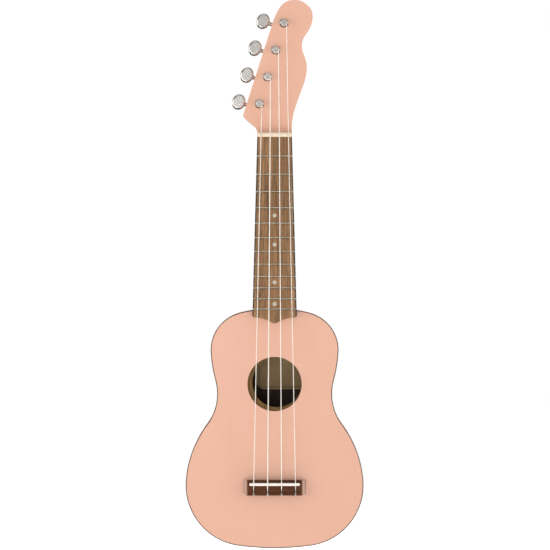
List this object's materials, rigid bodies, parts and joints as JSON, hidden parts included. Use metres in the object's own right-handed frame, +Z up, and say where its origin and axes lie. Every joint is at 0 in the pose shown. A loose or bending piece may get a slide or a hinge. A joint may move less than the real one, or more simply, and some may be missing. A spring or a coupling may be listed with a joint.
{
  "type": "ukulele",
  "caption": "Soprano ukulele with a painted figure-eight body, walnut fingerboard and bridge, and an asymmetric headstock with geared side tuners.",
  "frame": {"origin": "on the centreline at the nut's front edge, in the plane of the soundboard's face, where a wall hanger's yoke cradles the neck", "axes": "+Z up the neck to the headstock, +Y from the face to the back, +X to the right seen from the front"},
  "size_m": [0.1788, 0.0699, 0.5511],
  "materials": {
    "pink_paint": "satin paint",
    "bare_wood": "matte",
    "binding": "satin",
    "label_paper": "matte",
    "bridge_wood": "satin",
    "fingerboard_wood": "satin",
    "bone_plastic": "satin",
    "inlay": "polished",
    "fret_metal": "polished",
    "nylon": "translucent white",
    "nickel": "polished nickel",
    "brass": "satin"
  },
  "bodies": {
    "instrument": {"soundboard": "pink_paint", "back_plate": "pink_paint", "side_left": "pink_paint", "side_right": "pink_paint", "neck_block": "bare_wood", "tail_block": "bare_wood", "top_linings": "bare_wood", "back_linings": "bare_wood", "soundhole_ring": "bare_wood", "top_braces": "bare_wood", "back_braces": "bare_wood", "bridge_patch": "bare_wood", "top_binding": "binding", "back_binding": "binding", "label": "label_paper", "bridge": "bridge_wood", "saddle": "bone_plastic", "string_knots": "nylon", "neck": "pink_paint", "neck_dowels": "bare_wood", "fingerboard": "fingerboard_wood", "nut": "bone_plastic", "frets": "fret_metal", "position_dots": "inlay", "side_dots": "inlay", "tuner_bushings": "nickel", "tuner_screws": "nickel", "g_tuner_plate": "nickel", "g_string": "nylon", "c_tuner_plate": "nickel", "c_string": "nylon", "e_tuner_plate": "nickel", "e_string": "nylon", "a_tuner_plate": "nickel", "a_string": "nylon"},
    "g_key": {"g_tuner_worm": "nickel", "g_tuner_button": "nickel"},
    "g_capstan": {"g_tuner_post": "nickel", "g_tuner_wheel": "brass", "g_wheel_screw": "nickel", "g_winding": "nylon"},
    "c_key": {"c_tuner_worm": "nickel", "c_tuner_button": "nickel"},
    "c_capstan": {"c_tuner_post": "nickel", "c_tuner_wheel": "brass", "c_wheel_screw": "nickel", "c_winding": "nylon"},
    "e_key": {"e_tuner_worm": "nickel", "e_tuner_button": "nickel"},
    "e_capstan": {"e_tuner_post": "nickel", "e_tuner_wheel": "brass", "e_wheel_screw": "nickel", "e_winding": "nylon"},
    "a_key": {"a_tuner_worm": "nickel", "a_tuner_button": "nickel"},
    "a_capstan": {"a_tuner_post": "nickel", "a_tuner_wheel": "brass", "a_wheel_screw": "nickel", "a_winding": "nylon"}
  },
  "joints": [
    {"name": "g_key_turn", "type": "hinge", "parent": "instrument", "child": "g_key", "pos_m": [-0.01688, 0.0198, 0.02885], "axis": [0.9367, 0, -0.3502], "continuous": true},
    {"name": "g_post_turn", "type": "hinge", "parent": "instrument", "child": "g_capstan", "pos_m": [-0.0152, 0.0198, 0.03335], "axis": [0, 1, 0], "continuous": true},
    {"name": "c_key_turn", "type": "hinge", "parent": "instrument", "child": "c_key", "pos_m": [-0.00871, 0.0198, 0.056], "axis": [0.9367, 0, -0.3502], "continuous": true},
    {"name": "c_post_turn", "type": "hinge", "parent": "instrument", "child": "c_capstan", "pos_m": [-0.00703, 0.0198, 0.0605], "axis": [0, 1, 0], "continuous": true},
    {"name": "e_key_turn", "type": "hinge", "parent": "instrument", "child": "e_key", "pos_m": [-0.00054, 0.0198, 0.08315], "axis": [0.9367, 0, -0.3502], "continuous": true},
    {"name": "e_post_turn", "type": "hinge", "parent": "instrument", "child": "e_capstan", "pos_m": [0.00114, 0.0198, 0.08765], "axis": [0, 1, 0], "continuous": true},
    {"name": "a_key_turn", "type": "hinge", "parent": "instrument", "child": "a_key", "pos_m": [0.00763, 0.0198, 0.1103], "axis": [0.9367, 0, -0.3502], "continuous": true},
    {"name": "a_post_turn", "type": "hinge", "parent": "instrument", "child": "a_capstan", "pos_m": [0.00931, 0.0198, 0.1148], "axis": [0, 1, 0], "continuous": true}
  ],
  "couplings": [
    {"joint": "g_post_turn", "follows": "g_key_turn", "ratio": 0.071429},
    {"joint": "c_post_turn", "follows": "c_key_turn", "ratio": 0.071429},
    {"joint": "e_post_turn", "follows": "e_key_turn", "ratio": 0.071429},
    {"joint": "a_post_turn", "follows": "a_key_turn", "ratio": 0.071429}
  ]
}
